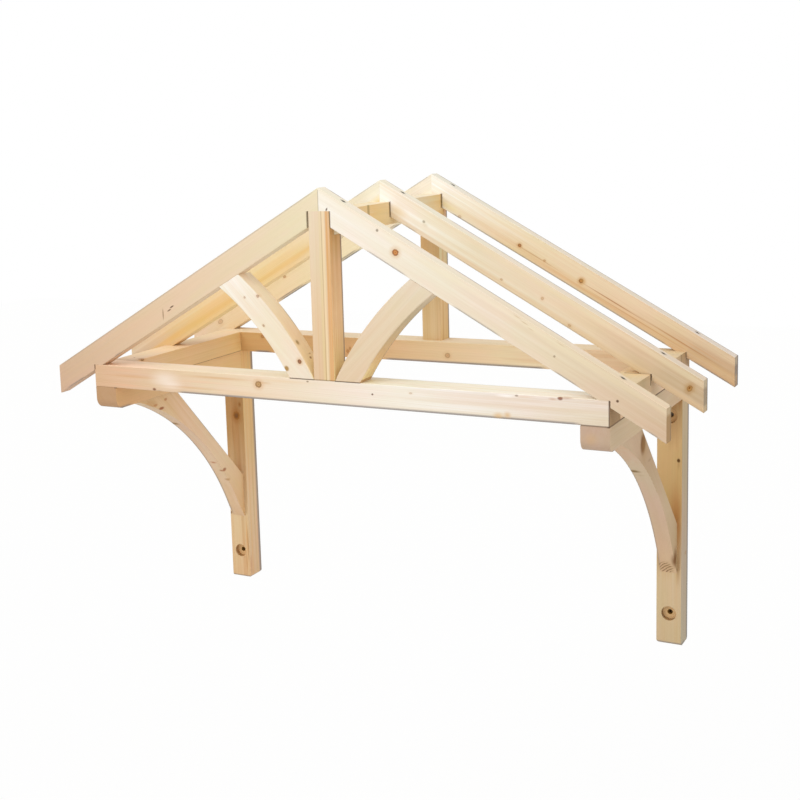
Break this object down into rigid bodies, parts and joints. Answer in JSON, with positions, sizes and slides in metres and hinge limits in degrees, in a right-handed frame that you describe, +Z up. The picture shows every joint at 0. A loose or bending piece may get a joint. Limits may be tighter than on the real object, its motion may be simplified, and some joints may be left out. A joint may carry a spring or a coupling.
{
  "type": "porch canopy",
  "caption": "Gabled timber porch canopy frame on two braced wall posts, with a king post truss, ridge beam and open rafters, to be roofed by the buyer.",
  "frame": {"origin": "centre of the wall beam's back face, which lies flat on the wall", "axes": "+X along the wall to the canopy's right-hand side as seen from in front, +Y into the wall, +Z up"},
  "size_m": [1.762, 0.73, 1.3333],
  "materials": {
    "post_timber": "bare planed softwood, golden tan",
    "bracket_timber": "bare planed softwood, tan",
    "beam_timber": "bare planed softwood, warm cream",
    "truss_timber": "bare planed softwood, warm cream to tan",
    "rafter_timber": "bare planed softwood, pale cream"
  },
  "bodies": {
    "root": {"front_crossbeam": "beam_timber", "front_king_post": "post_timber", "left_arm": "bracket_timber", "left_brace": "bracket_timber", "left_front_rafter": "rafter_timber", "left_middle_rafter": "rafter_timber", "left_post": "post_timber", "left_purlin": "beam_timber", "left_rear_rafter": "rafter_timber", "left_strut": "truss_timber", "rear_crossbeam": "beam_timber", "rear_king_post": "post_timber", "ridge_beam": "truss_timber", "right_arm": "bracket_timber", "right_brace": "bracket_timber", "right_front_rafter": "rafter_timber", "right_middle_rafter": "rafter_timber", "right_post": "post_timber", "right_purlin": "beam_timber", "right_rear_rafter": "rafter_timber", "right_strut": "truss_timber"}
  },
  "joints": []
}
